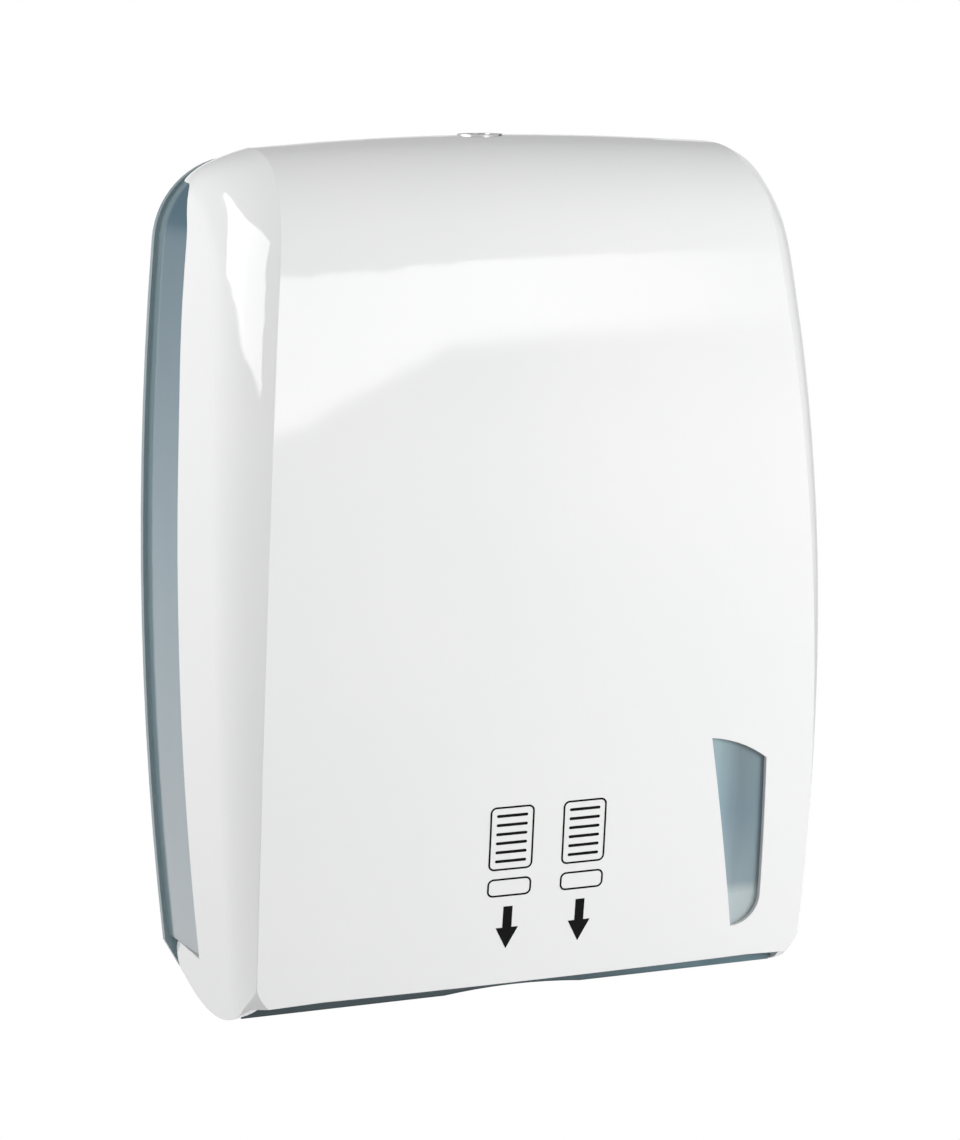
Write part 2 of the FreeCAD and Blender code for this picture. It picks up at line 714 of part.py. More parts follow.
def tab_screws(places):
    """Screws that hold tabs or flanges to the tray's bosses."""
    return Part.Compound([screw(V(x, TAB_FRONT_Y, z), AXIS_Y, SCREW_LENGTH) for x, z in places])


def front_cover():
    behind = box((-REACH, REACH), (COVER_REAR_Y, REACH), (CUT_BOTTOM, REACH))
    trimmed = OUTER_FORM.cut(behind).cut(side_cut(0.0)).cut(skirt_cut()).cut(window_prism(0.0))
    solid_features = [
        both_sides(hinge_bar(KNUCKLE_RADIUS, KNUCKLE_INNER_X, CHEEK_OUTER_X)),
        lock_bar(NUT_CORNER_RADIUS + GAP, LOCK_PAD_Z, RIDGE_Z),
    ]
    for place, root in zip(POST_PLACES, POST_ROOTS):
        solid_features.append(wall_bar(place, POST_RADIUS, root + POST_LENGTH, -COVER_DEPTH))
    cover = trimmed.cut(INNER_FORM.cut(solid_features))
    blind_hole = hinge_bar(PIN_RADIUS + RUN, KNUCKLE_INNER_X - HINGE_PLAY, BLIND_END_X)
    spot_face = lock_bar(LOCK_FLANGE_RADIUS + SPOT_CLEAR, LOCK_SEAT_Z, REACH)
    lock_hole = lock_bar(LOCK_BODY_RADIUS + SEAT, PIVOT_Z, REACH)
    return cover.cut([both_sides(blind_hole), spot_face, lock_hole])


def window_pane():
    front = cover_form(COVER_WALL + PANE_GAP, OVERRUN)
    back = cover_form(COVER_WALL + PANE_GAP + PANE_THICKNESS, OVERRUN)
    area = window_prism(PANE_LAP)
    pane = front.common(area).cut(back)
    for place in POST_PLACES:
        pane = pane.cut(wall_bar(place, POST_RADIUS + SEAT, -COVER_DEPTH, CUT_FRONT_Y))
    return pane


def window_push_nuts():
    nuts = []
    for place, root in zip(POST_PLACES, POST_ROOTS):
        front_y = root + PANE_GAP + PANE_THICKNESS + PUSH_NUT_TILT
        back_y = front_y + PUSH_NUT_THICKNESS
        hole = wall_bar(place, POST_RADIUS + SEAT, root, back_y + POST_LENGTH)
        nuts.append(wall_bar(place, PUSH_NUT_RADIUS, front_y, back_y).cut(hole))
    return Part.Compound(nuts)


def rim_chamfer():
    """Corner that is cut off the rim's lower right end."""
    top_z = RIM_BOTTOM + RIM_CHAMFER_Z
    top_x = RIM_HALF_WIDTH - side_drop(top_z)
    low_x = RIM_HALF_WIDTH - side_drop(RIM_BOTTOM) - RIM_CHAMFER_X
    points = [V(top_x, 0, top_z), V(low_x, 0, RIM_BOTTOM), V(RIM_HALF_WIDTH, 0, RIM_BOTTOM),
              V(RIM_HALF_WIDTH, 0, top_z)]
    return prism(polygon(points), V(0, -RIM_THICKNESS, 0))


def tray_back():
    """Back plate with its thicker rim."""
    rim = prism(casing_outline(RIM_HALF_WIDTH, RIM_TOP, RIM_CORNER, RIM_BOTTOM, 0.0),
                V(0, -RIM_THICKNESS, 0))
    recess = prism(casing_outline(RIM_HALF_WIDTH - RIM_WIDTH, RIM_TOP - RIM_WIDTH,
                                  RIM_CORNER - RIM_WIDTH, RIM_BOTTOM + RIM_WIDTH, -BACK_THICKNESS),
                   V(0, -RIM_THICKNESS, 0))
    return rim.cut(recess).cut(both_sides(rim_chamfer()))


def tray_ring(inset):
    """Solid inside the tray's wall: a straight ring that bulges out into the cover's side cut-outs."""
    low = TRAY_LOW - inset
    ring = prism(casing_outline(TRAY_HALF_WIDTH - inset, TRAY_TOP - inset, TRAY_CORNER - inset, low,
                                -BACK_THICKNESS), V(0, TRAY_FRONT_Y + BACK_THICKNESS - inset, 0))
    rear = casing_outline(RIM_HALF_WIDTH - RIM_STEP - inset, RIM_TOP, RIM_CORNER, CUT_BOTTOM,
                          -BACK_THICKNESS)
    front = casing_outline(PANEL_FRONT_HALF - inset, RIM_TOP, RIM_CORNER, CUT_BOTTOM, CUT_FRONT_Y)
    panels = Part.makeLoft([Part.Wire(rear), Part.Wire(front)], True, True)
    return ring.fuse(panels.common(side_cut(PANEL_CLEAR + inset)))


def rear_tray():
    tray = tray_back().fuse(tray_ring(0.0).cut(tray_ring(TRAY_WALL)))
    for x in RIB_PLACES:
        rib = box((x - RIB_WIDTH / 2, x + RIB_WIDTH / 2), (-BACK_THICKNESS / 2, RIB_FRONT_Y),
                  (RIB_LOW, RIB_HIGH))
        tray = tray.fuse(rib)
    for place in WALL_HOLES:
        tray = tray.fuse(wall_bar(place, HOLE_BOSS_RADIUS, -BACK_THICKNESS / 2,
                                  -BACK_THICKNESS - HOLE_BOSS_HEIGHT))
    lug = box((LUG_INNER_X, LUG_OUTER_X), (-BACK_THICKNESS / 2, LUG_FRONT_Y), (RIM_BOTTOM, LUG_TOP))
    tray = tray.fuse(both_sides(lug))
    screw_places = DIVIDER_SCREWS + GUIDE_SCREWS + OUTLET_SCREWS
    for place in screw_places:
        tray = tray.fuse(wall_bar(place, BOSS_RADIUS, -BACK_THICKNESS / 2, BOSS_FRONT_Y))
    for y in STRIKE_SCREWS_Y:
        boss = cylinder(BOSS_RADIUS, V(STRIKE_SCREW_X, y, STRIKE_TOP),
                        V(STRIKE_SCREW_X, y, TRAY_TOP - TRAY_WALL / 2))
        pilot = cylinder(SCREW_RADIUS + SEAT, V(STRIKE_SCREW_X, y, STRIKE_TOP),
                         V(STRIKE_SCREW_X, y, TRAY_TOP - TRAY_WALL / 2 - PILOT_SKIN))
        tray = tray.fuse(boss).cut(pilot)
    for place in WALL_HOLES:
        tray = tray.cut(wall_bar(place, HOLE_RADIUS, BACK_THICKNESS, BOSS_FRONT_Y))
    for place in screw_places:
        tray = tray.cut(wall_bar(place, SCREW_RADIUS + SEAT, -PILOT_SKIN, BOSS_FRONT_Y))
    tray = tray.cut(both_sides(hinge_bar(PIN_RADIUS + SEAT, LUG_INNER_X, LUG_OUTER_X)))
    notch = box((-LOCK_NOTCH_HALF, LOCK_NOTCH_HALF), (TRAY_FRONT_Y, LOCK_NOTCH_REAR_Y),
                (STRIKE_LOW, RIDGE_Z))
    return tray.cut(notch)


def hinge_pin(side):
    head = hinge_bar(PIN_HEAD_RADIUS, PIN_HEAD_END_X, LUG_INNER_X - SEAT)
    shank = hinge_bar(PIN_RADIUS, LUG_INNER_X - SEAT, BLIND_END_X - PIN_END_PLAY)
    pin = head.fuse(shank)
    return pin if side > 0 else mirrored(pin)


def outlet_slot(side, grow, low, high):
    """Round-cornered prism of one paper outlet, grown by a margin."""
    half_length = OUTLET_LENGTH / 2 + grow
    half_width = OUTLET_WIDTH / 2 + grow
    x = side * OUTLET_X
    points = [V(x - half_length, OUTLET_Y - half_width, low), V(x + half_length, OUTLET_Y - half_width, low),
              V(x + half_length, OUTLET_Y + half_width, low), V(x - half_length, OUTLET_Y + half_width, low)]
    return prism(rounded_polygon(points, OUTLET_CORNER + grow), V(0, 0, high - low))


def above_floor(low, step_y):
    """Prism above a floor at the given height that steps up to a shelf along the front edge."""
    x = -REACH / 2
    shelf = low + SHELF_RISE
    points = [V(x, -COVER_DEPTH, shelf), V(x, step_y - SHELF_STEP_RUN, shelf), V(x, step_y, low),
              V(x, OUTLET_WIDE_Y, low), V(x, OUTLET_WIDE_Y, PIVOT_Z), V(x, -COVER_DEPTH, PIVOT_Z)]
    return prism(polygon(points), V(REACH, 0, 0))


def outlet_tray():
    nest = cover_form(COVER_WALL + GAP, OVERRUN)
    nest_inner = cover_form(COVER_WALL + GAP + TRAY_WALL, OVERRUN)
    floor_top = FLOOR_LOW + FLOOR_THICKNESS
    over_lip = box((-REACH, REACH), (-REACH, REACH), (LIP_TOP, REACH))
    under_panels = box((-REACH, REACH), (LIP_STEP_Y, REACH), (LIP_TOP - LIP_STEP, REACH))
    inside = nest_inner.common(above_floor(floor_top, FLOOR_BREAK_Y + TRAY_WALL))
    tray = nest.common(above_floor(FLOOR_LOW, FLOOR_BREAK_Y)).cut(inside)
    tray = tray.cut([over_lip, under_panels])
    rear_floor = box((-OUTLET_REAR_HALF, OUTLET_REAR_HALF), (OUTLET_WIDE_Y, BOSS_FRONT_Y),
                     (FLOOR_LOW, floor_top))
    flange = box((-OUTLET_REAR_HALF, OUTLET_REAR_HALF), (TAB_FRONT_Y, BOSS_FRONT_Y),
                 (FLOOR_LOW, FLANGE_TOP))
    tray = tray.fuse([rear_floor, flange])
    throat_top = floor_top + THROAT_HEIGHT
    for side in (-1, 1):
        tray = tray.fuse(outlet_slot(side, THROAT_WALL, FLOOR_LOW, throat_top))
    for side in (-1, 1):
        tray = tray.cut(outlet_slot(side, 0.0, FLOOR_LOW - GAP, throat_top + GAP))
    scoop_radius = (SCOOP_WIDTH / 2) ** 2 / (2 * SCOOP_DEPTH) + SCOOP_DEPTH / 2
    scoop_z = FLOOR_LOW + SCOOP_DEPTH - scoop_radius
    scoop = cylinder(scoop_radius, V(0, -REACH, scoop_z), V(0, SCOOP_REAR_Y, scoop_z))
    tray = tray.cut(scoop)
    for place in OUTLET_SCREWS:
        tray = tray.cut(wall_bar(place, SCREW_RADIUS + SCREW_CLEAR, TAB_FRONT_Y, BOSS_FRONT_Y))
    return tray.removeSplitter()


def column_divider():
    x = -DIVIDER_THICKNESS / 2
    points = [V(x, BOSS_FRONT_Y, DIVIDER_LOW), V(x, DIVIDER_FRONT_Y, DIVIDER_LOW),
              V(x, DIVIDER_FRONT_Y, DIVIDER_HIGH - DIVIDER_SLOPE),
              V(x, DIVIDER_FRONT_Y + DIVIDER_SLOPE, DIVIDER_HIGH), V(x, BOSS_FRONT_Y, DIVIDER_HIGH)]
    divider = prism(rounded_polygon(points, DIVIDER_CORNER), V(DIVIDER_THICKNESS, 0, 0))
    for place in DIVIDER_SCREWS:
        tab = box((0, place[0] + TAB_MARGIN), (TAB_FRONT_Y, BOSS_FRONT_Y),
                  (place[1] - TAB_HALF_HEIGHT, place[1] + TAB_HALF_HEIGHT))
        divider = divider.fuse(tab)
    for place in DIVIDER_SCREWS:
        divider = divider.cut(wall_bar(place, SCREW_RADIUS + SCREW_CLEAR, TAB_FRONT_Y, BOSS_FRONT_Y))
    return divider.removeSplitter()


def side_guide(side):
    x = GUIDE_X - GUIDE_THICKNESS / 2
    points = [V(x, BOSS_FRONT_Y, GUIDE_LOW), V(x, GUIDE_FRONT_Y, GUIDE_LOW),
              V(x, GUIDE_FRONT_Y, GUIDE_HIGH), V(x, BOSS_FRONT_Y, GUIDE_HIGH)]
    guide = prism(rounded_polygon(points, GUIDE_CORNER), V(GUIDE_THICKNESS, 0, 0))
    places = [place for place in GUIDE_SCREWS if place[0] > 0]
    for place in places:
        tab = box((GUIDE_X, place[0] + TAB_MARGIN), (TAB_FRONT_Y, BOSS_FRONT_Y),
                  (place[1] - TAB_HALF_HEIGHT, place[1] + TAB_HALF_HEIGHT))
        guide = guide.fuse(tab)
    for place in places:
        guide = guide.cut(wall_bar(place, SCREW_RADIUS + SCREW_CLEAR, TAB_FRONT_Y, BOSS_FRONT_Y))
    guide = guide.removeSplitter()
    return guide if side > 0 else mirrored(guide)


def latch_strike():
    lip_front_y = STRIKE_LIP_REAR_Y - STRIKE_THICKNESS
    plate = box((STRIKE_NEAR_X, STRIKE_FAR_X), (lip_front_y, STRIKE_REAR_Y), (STRIKE_LOW, STRIKE_TOP))
    lip = box((STRIKE_LIP_NEAR_X, STRIKE_FAR_X), (lip_front_y, STRIKE_LIP_REAR_Y),
              (STRIKE_LOW - STRIKE_LIP_DROP, STRIKE_TOP))
    strike = plate.fuse(lip)
    for y in STRIKE_SCREWS_Y:
        strike = strike.cut(cylinder(SCREW_RADIUS + SCREW_CLEAR, V(STRIKE_SCREW_X, y, STRIKE_LOW),
                                     V(STRIKE_SCREW_X, y, STRIKE_TOP)))
    return strike.removeSplitter()


def strike_screws():
    return Part.Compound([screw(V(STRIKE_SCREW_X, y, STRIKE_LOW), AXIS_Z, STRIKE_SCREW_LENGTH)
                          for y in STRIKE_SCREWS_Y])


def lock_housing():
    flange = lock_bar(LOCK_FLANGE_RADIUS, LOCK_SEAT_Z, LOCK_SEAT_Z + LOCK_FLANGE_THICKNESS)
    body = lock_bar(LOCK_BODY_RADIUS, LOCK_BODY_LOW, LOCK_SEAT_Z)
    return flange.fuse(body).cut(lock_bar(BARREL_RADIUS + RUN, CAM_LOW, RIDGE_Z + REACH)).removeSplitter()


def lock_nut():
    low = LOCK_PAD_Z - SEAT - NUT_THICKNESS
    corners = []
    for step in range(6):
        turn = math.radians(60 * step)
        corner = V(math.cos(turn), math.sin(turn), 0) * NUT_CORNER_RADIUS
        corners.append(corner + V(0, RIDGE_Y, low))
    nut = prism(polygon(corners), V(0, 0, NUT_THICKNESS))
    return nut.cut(lock_bar(LOCK_BODY_RADIUS + SEAT, CAM_LOW, RIDGE_Z))


def square_bar(side, low, high):
    """Square bar about the lock's axis."""
    return box((-side / 2, side / 2), (RIDGE_Y - side / 2, RIDGE_Y + side / 2), (low, high))


def lock_barrel():
    top = LOCK_SEAT_Z + LOCK_FLANGE_THICKNESS - BARREL_RECESS
    barrel = lock_bar(BARREL_RADIUS, CAM_TOP, top).fuse(square_bar(CAM_SQUARE, CAM_LOW, CAM_TOP))
    keyway = box((-KEYWAY_WIDTH / 2, KEYWAY_WIDTH / 2),
                 (RIDGE_Y - KEYWAY_LENGTH / 2, RIDGE_Y + KEYWAY_LENGTH / 2), (top - KEYWAY_DEPTH, top))
    screw_hole = lock_bar(SCREW_RADIUS + SEAT, CAM_LOW, WASHER_LOW + CAM_SCREW_LENGTH + SEAT)
    return barrel.cut(keyway).cut(screw_hole)


def lock_cam():
    points = [V(-CAM_HALF_WIDTH, RIDGE_Y - CAM_HALF_WIDTH, CAM_LOW),
              V(CAM_HALF_WIDTH, RIDGE_Y - CAM_HALF_WIDTH, CAM_LOW),
              V(CAM_HALF_WIDTH, RIDGE_Y + CAM_REACH, CAM_LOW),
              V(-CAM_HALF_WIDTH, RIDGE_Y + CAM_REACH, CAM_LOW)]
    lever = prism(rounded_polygon(points, CAM_CORNER), V(0, 0, CAM_THICKNESS))
    cam = lever.fuse(lock_bar(CAM_HUB_RADIUS, CAM_LOW, CAM_TOP))
    return cam.cut(square_bar(CAM_SQUARE + 2 * SEAT, CAM_LOW, CAM_TOP)).removeSplitter()


def cam_washer():
    washer = lock_bar(WASHER_RADIUS, WASHER_LOW, CAM_LOW)
    return washer.cut(lock_bar(SCREW_RADIUS + SCREW_CLEAR, WASHER_LOW, CAM_LOW))


def cam_screw():
    return screw(V(0, RIDGE_Y, WASHER_LOW), AXIS_Z, CAM_SCREW_LENGTH)


PARTS = {
    "rear_tray": rear_tray,
    "outlet_tray": outlet_tray,
    "outlet_tray_screws": lambda: tab_screws(OUTLET_SCREWS),
    "column_divider": column_divider,
    "divider_screws": lambda: tab_screws(DIVIDER_SCREWS),
    "left_side_guide": lambda: side_guide(-1),
    "right_side_guide": lambda: side_guide(1),
    "guide_screws": lambda: tab_screws(GUIDE_SCREWS),
    "left_hinge_pin": lambda: hinge_pin(-1),
    "right_hinge_pin": lambda: hinge_pin(1),
    "latch_strike": latch_strike,
    "strike_screws": strike_screws,
    "front_cover": front_cover,
    "window_pane": window_pane,
    "window_push_nuts": window_push_nuts,
    "lock_housing": lock_housing,
    "lock_nut": lock_nut,
    "lock_barrel": lock_barrel,
    "lock_cam": lock_cam,
    "cam_washer": cam_washer,
    "cam_screw": cam_screw,
}


def main():
    os.makedirs("parts", exist_ok=True)
    for name, make in PARTS.items():
        make().exportStep(f"parts/{name}.step")


main()
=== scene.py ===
import bpy
import bmesh
import json
import math
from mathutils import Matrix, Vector
from mathutils.bvhtree import BVHTree


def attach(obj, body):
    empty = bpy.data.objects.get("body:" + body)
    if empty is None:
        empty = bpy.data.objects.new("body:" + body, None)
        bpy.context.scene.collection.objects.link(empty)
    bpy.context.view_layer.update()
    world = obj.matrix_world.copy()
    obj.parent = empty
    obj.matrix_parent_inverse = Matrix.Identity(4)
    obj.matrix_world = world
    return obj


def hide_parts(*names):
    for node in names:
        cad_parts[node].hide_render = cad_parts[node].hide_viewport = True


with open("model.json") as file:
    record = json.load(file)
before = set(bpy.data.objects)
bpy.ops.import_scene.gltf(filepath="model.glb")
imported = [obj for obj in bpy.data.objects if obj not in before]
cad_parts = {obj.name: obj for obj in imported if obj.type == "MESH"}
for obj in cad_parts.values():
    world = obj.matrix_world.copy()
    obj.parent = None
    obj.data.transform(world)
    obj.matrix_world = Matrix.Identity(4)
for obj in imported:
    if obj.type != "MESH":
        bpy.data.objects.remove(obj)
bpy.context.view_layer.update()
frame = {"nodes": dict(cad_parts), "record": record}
nodes = frame["nodes"]
scene = bpy.context.scene


# Node helpers

NOISE_LOW, NOISE_HIGH = 0.3, 0.7
BEVEL_SAMPLES = 6


def even(level):
    """Neutral colour of one level."""
    return (level, level, level)


def map_range(tree, value, low, high, start=0.0, end=1.0, kind="LINEAR"):
    """Carries a value from between low and high to between start and end."""
    made = tree.nodes.new("ShaderNodeMapRange")
    made.interpolation_type = kind
    made.inputs["From Min"].default_value = low
    made.inputs["From Max"].default_value = high
    made.inputs["To Min"].default_value = start
    made.inputs["To Max"].default_value = end
    tree.links.new(value, made.inputs["Value"])
    return made.outputs["Result"]


def combine(tree, operation, first, second):
    made = tree.nodes.new("ShaderNodeMath")
    made.operation = operation
    tree.links.new(first, made.inputs[0])
    tree.links.new(second, made.inputs[1])
    return made.outputs["Value"]


def axes(tree, vector):
    split = tree.nodes.new("ShaderNodeSeparateXYZ")
    tree.links.new(vector, split.inputs["Vector"])
    return split.outputs


def along(tree, axis, low, high):
    """Place in the object along one axis between two levels, as 0 to 1."""
    place = tree.nodes.new("ShaderNodeTexCoord")
    return map_range(tree, axes(tree, place.outputs["Object"])[axis], low, high)


def noise(tree, scale, detail=4.0, stretch=(1.0, 1.0, 1.0)):
    place = tree.nodes.new("ShaderNodeTexCoord")
    mapping = tree.nodes.new("ShaderNodeMapping")
    mapping.inputs["Scale"].default_value = stretch
    texture = tree.nodes.new("ShaderNodeTexNoise")
    texture.inputs["Scale"].default_value = scale
    texture.inputs["Detail"].default_value = detail
    tree.links.new(place.outputs["Object"], mapping.inputs["Vector"])
    tree.links.new(mapping.outputs["Vector"], texture.inputs["Vector"])
    return texture.outputs["Fac"]


def ramp(tree, value, stops):
    """Colour ramp over a value, from (position, colour) stops."""
    made = tree.nodes.new("ShaderNodeValToRGB")
    elements = made.color_ramp.elements
    for index, (position, colour) in enumerate(stops):
        element = elements[index] if index < 2 else elements.new(position)
        element.position = position
        element.color = (*colour, 1.0)
    tree.links.new(value, made.inputs["Fac"])
    return made.outputs["Color"]


def mottle(tree, value, dark, light):
    """Colour between two tones, from a noise value."""
    return ramp(tree, value, [(NOISE_LOW, dark), (NOISE_HIGH, light)])


def spread(tree, value, low, high):
    """Number between two levels, from a noise value."""
    return map_range(tree, value, NOISE_LOW, NOISE_HIGH, low, high)


def mixed(tree, kind, first, second):
    mix = tree.nodes.new("ShaderNodeMix")
    mix.data_type = "RGBA"
    mix.blend_type = kind
    mix.inputs["Factor"].default_value = 1.0
    tree.links.new(first, mix.inputs["A"])
    tree.links.new(second, mix.inputs["B"])
    return mix


def multiply(tree, first, second):
    return mixed(tree, "MULTIPLY", first, second).outputs["Result"]


def blend(tree, share, first, second):
    mix = mixed(tree, "MIX", first, second)
    tree.links.new(share, mix.inputs["Factor"])
    return mix.outputs["Result"]


# Materials

PLASTIC_IOR = 1.49
FLOW_STRETCH = (1.0, 1.0, 0.12)
RIM_FRONT_Y, RIM_BACK_Y, RIM_SHADE = -0.013, -0.008, 0.94


def new_material(name, roughness, metallic=0.0):
    made = bpy.data.materials.new(name)
    made.use_nodes = True
    shader = made.node_tree.nodes["Principled BSDF"]
    shader.inputs["Roughness"].default_value = roughness
    shader.inputs["Metallic"].default_value = metallic
    return made, made.node_tree, shader


def coat(tree, shader, tone, roughness):
    tree.links.new(tone, shader.inputs["Base Color"])
    tree.links.new(roughness, shader.inputs["Roughness"])


def surface(tree, shader, value, distance, strength, edge=0.0):
    """Bump from a value, over edges that are rounded by a small radius."""
    bump = tree.nodes.new("ShaderNodeBump")
    bump.inputs["Strength"].default_value = strength
    bump.inputs["Distance"].default_value = distance
    tree.links.new(value, bump.inputs["Height"])
    if edge:
        bevel = tree.nodes.new("ShaderNodeBevel")
        bevel.samples = BEVEL_SAMPLES
        bevel.inputs["Radius"].default_value = edge
        tree.links.new(bevel.outputs["Normal"], bump.inputs["Normal"])
    tree.links.new(bump.outputs["Normal"], shader.inputs["Normal"])


def white_gloss():
    made, tree, shader = new_material("white_gloss", roughness=0.07)
    cloud = noise(tree, scale=9.0, detail=3.0)
    tone = mottle(tree, cloud, dark=(0.785, 0.79, 0.79), light=(0.80, 0.803, 0.80))
    coat(tree, shader, tone, spread(tree, noise(tree, scale=240.0), low=0.05, high=0.085))
    ripple = noise(tree, scale=60.0, detail=2.0)
    surface(tree, shader, ripple, distance=0.0004, strength=0.04, edge=0.0006)
    return made


def smoked(name, stops, low, high, clear, roughness, streaks=14.0, drawn=0.87,
           side_shade=None, rim=None):
    """Tinted clear plastic whose tone follows the height, faintly drawn along the mould flow.

    stops are the tones from the height low to the height high; on the outlet and the pane they are
    painted shade and painted light.
    clear is the share of light that passes through.
    drawn is the share of the tone in the darkest streaks of the flow.
    The side shade is two places along X, and the share of the tone at each: painted shade towards
    one side.
    rim is the tone of the thick edge at the wall, which lets less light through.
    """
    made, tree, shader = new_material(name, roughness)
    flow = mottle(tree, noise(tree, streaks, 3.0, FLOW_STRETCH), even(drawn), even(1.0))
    tone = multiply(tree, ramp(tree, along(tree, "Z", low, high), stops), flow)
    # painted shade, darker towards one side along X
    if side_shade:
        left, right, left_share, right_share = side_shade
        shares = [(0.0, even(left_share)), (1.0, even(right_share))]
        tone = multiply(tree, tone, ramp(tree, along(tree, "X", left, right), shares))
    if rim:
        shade = tuple(level * RIM_SHADE for level in rim)
        edge = mottle(tree, noise(tree, scale=40.0), shade, rim)
        tone = blend(tree, along(tree, "Y", RIM_FRONT_Y, RIM_BACK_Y), tone, edge)
    haze = noise(tree, scale=180.0)
    coat(tree, shader, tone, spread(tree, haze, roughness * 0.8, roughness * 1.25))
    shader.inputs["Transmission Weight"].default_value = clear
    shader.inputs["IOR"].default_value = PLASTIC_IOR
    ripple = noise(tree, scale=80.0, detail=2.0)
    surface(tree, shader, ripple, distance=0.0004, strength=0.05, edge=0.0005)
    return made


def inner_white():
    made, tree, shader = new_material("inner_white", roughness=0.45)
    tone = mottle(tree, noise(tree, scale=30.0), dark=(0.66, 0.67, 0.68), light=(0.71, 0.72, 0.72))
    coat(tree, shader, tone, spread(tree, noise(tree, scale=300.0), low=0.38, high=0.52))
    grain = noise(tree, scale=900.0, detail=2.0)
    surface(tree, shader, grain, distance=0.0002, strength=0.15, edge=0.0004)
    return made


def metal(name, dark, light, roughness, stretch):
    made, tree, shader = new_material(name, roughness, metallic=1.0)
    brushed = noise(tree, 260.0, 5.0, stretch)
    tone = mottle(tree, brushed, dark, light)
    coat(tree, shader, tone, spread(tree, brushed, roughness * 0.75, roughness * 1.3))
    surface(tree, shader, brushed, distance=0.0002, strength=0.12, edge=0.0003)
    return made


def print_black():
    made, tree, shader = new_material("print_black", roughness=0.5)
    shader.inputs["Specular IOR Level"].default_value = 0.1
    tone = mottle(tree, noise(tree, scale=400.0), dark=even(0.002), light=even(0.005))
    coat(tree, shader, tone, spread(tree, noise(tree, scale=700.0), low=0.4, high=0.6))
    grain = noise(tree, scale=900.0, detail=2.0)
    surface(tree, shader, grain, distance=0.0001, strength=0.1)
    return made


TRAY_TONES = [(0.0, (0.59, 0.65, 0.685)), (0.45, (0.35, 0.465, 0.525)),
              (1.0, (0.02, 0.125, 0.195))]
# Outlet tint with painted shade, darkest at the bottom, for its face in shadow under the cover's
# front edge
OUTLET_TINT_AND_PAINTED_SHADE = [(0.0, (0.19, 0.32, 0.37)), (1.0, (0.35, 0.53, 0.60))]
# Pane tint with painted light: near white at the bottom for the lit ledge seen through it
PANE_TINT_AND_PAINTED_LIGHT = [(0.06, (0.84, 0.96, 1.0)), (0.18, (0.84, 0.97, 1.0)), (0.24, (0.48, 0.62, 0.68)),
              (0.6, (0.35, 0.495, 0.575)), (1.0, (0.39, 0.52, 0.56))]

finish = {
    "white_gloss": white_gloss(),
    "smoked": smoked("smoked", TRAY_TONES, low=-0.19, high=0.18, clear=0.35, roughness=0.12,
                     rim=(0.28, 0.385, 0.42)),
    # Outlet with painted shade, darkest at the bottom and from the middle to the left
    "smoked_dark": smoked("smoked_dark", OUTLET_TINT_AND_PAINTED_SHADE, low=-0.206, high=-0.172, clear=0.35,
                          roughness=0.15, side_shade=(0.0, 0.125, 0.27, 1.0)),
    # Pane with painted light at the bottom and a painted shadow darkening its right edge
    "smoked_pane": smoked("smoked_pane", PANE_TINT_AND_PAINTED_LIGHT, low=-0.18, high=-0.08, clear=0.22,
                          roughness=0.08, streaks=60.0, drawn=0.84,
                          side_shade=(0.088, 0.100, 1.0, 0.64)),
    "inner_white": inner_white(),
    "steel": metal("steel", dark=(0.42, 0.43, 0.44), light=(0.62, 0.63, 0.64), roughness=0.32,
                   stretch=(1.0, 1.0, 1.0)),
    "lock_metal": metal("lock_metal", dark=(0.60, 0.60, 0.60), light=(0.76, 0.76, 0.75),
                        roughness=0.26, stretch=(0.2, 1.0, 1.0)),
}
for entry in frame["record"]["subparts"]:
    node = nodes[entry["node"]]
    node.data.materials.clear()
    node.data.materials.append(finish[entry["material_slot"]])


# The cover's shell: its lower front edge is drawn up so that the outlet tray shows as a strip
# below it, and its top corners are fuller than the solid's

EDGE_LIFT = 0.0016
EDGE_FULL_Z, EDGE_NONE_Z = -0.1930, -0.1800
EDGE_FULL_Y, EDGE_NONE_Y = -0.1160, -0.1020
EDGE_FULL_X, EDGE_NONE_X = 0.1260, 0.1360
CORNER_OUT = 0.0073
CORNER_Z, CORNER_Z_RUN = 0.184, 0.0103
WALL_OUT = 0.0017
WALL_Z, WALL_Z_RUN = 0.140, 0.045
CORNER_X, CORNER_X_RUN = 0.128, 0.018
CORNER_FULL_Y, CORNER_NONE_Y = -0.045, -0.105
SLOPE_STEP = 0.00002
SLOPE_STEPS = [Vector((SLOPE_STEP, 0.0, 0.0)), Vector((0.0, SLOPE_STEP, 0.0)),
               Vector((0.0, 0.0, SLOPE_STEP))]


def smooth_share(value, none, full):
    """0 at none, 1 at full, with a smooth run between."""
    share = min(max((value - none) / (full - none), 0.0), 1.0)
    return share * share * (3.0 - 2.0 * share)


def bell(offset, run):
    """1 at no offset, falling off smoothly over the run."""
    return math.exp(-(offset / run) ** 2 / 2)


def add_piece(name, mesh, body):
    piece = bpy.data.objects.new(name, mesh)
    scene.collection.objects.link(piece)
    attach(piece, body)
    return piece


def corner_swell(point):
    """How far a point of the shell moves outward along X to fill the top corners."""
    inside = max(0.0, CORNER_X - abs(point.x))
    share = bell(inside, CORNER_X_RUN) * smooth_share(point.y, CORNER_NONE_Y, CORNER_FULL_Y)
    corner = CORNER_OUT * bell(point.z - CORNER_Z, CORNER_Z_RUN)
    wall = WALL_OUT * bell(point.z - WALL_Z, WALL_Z_RUN)
    return math.copysign((corner + wall) * share, point.x)


def swollen_normal(point, normal):
    """A normal of the shell after the swell, from the swell's slope at the point."""
    slope = Vector([(corner_swell(point + step) - corner_swell(point - step)) / (2 * SLOPE_STEP)
                    for step in SLOPE_STEPS])
    return (normal - slope * (normal.x / (1.0 + slope.x))).normalized()


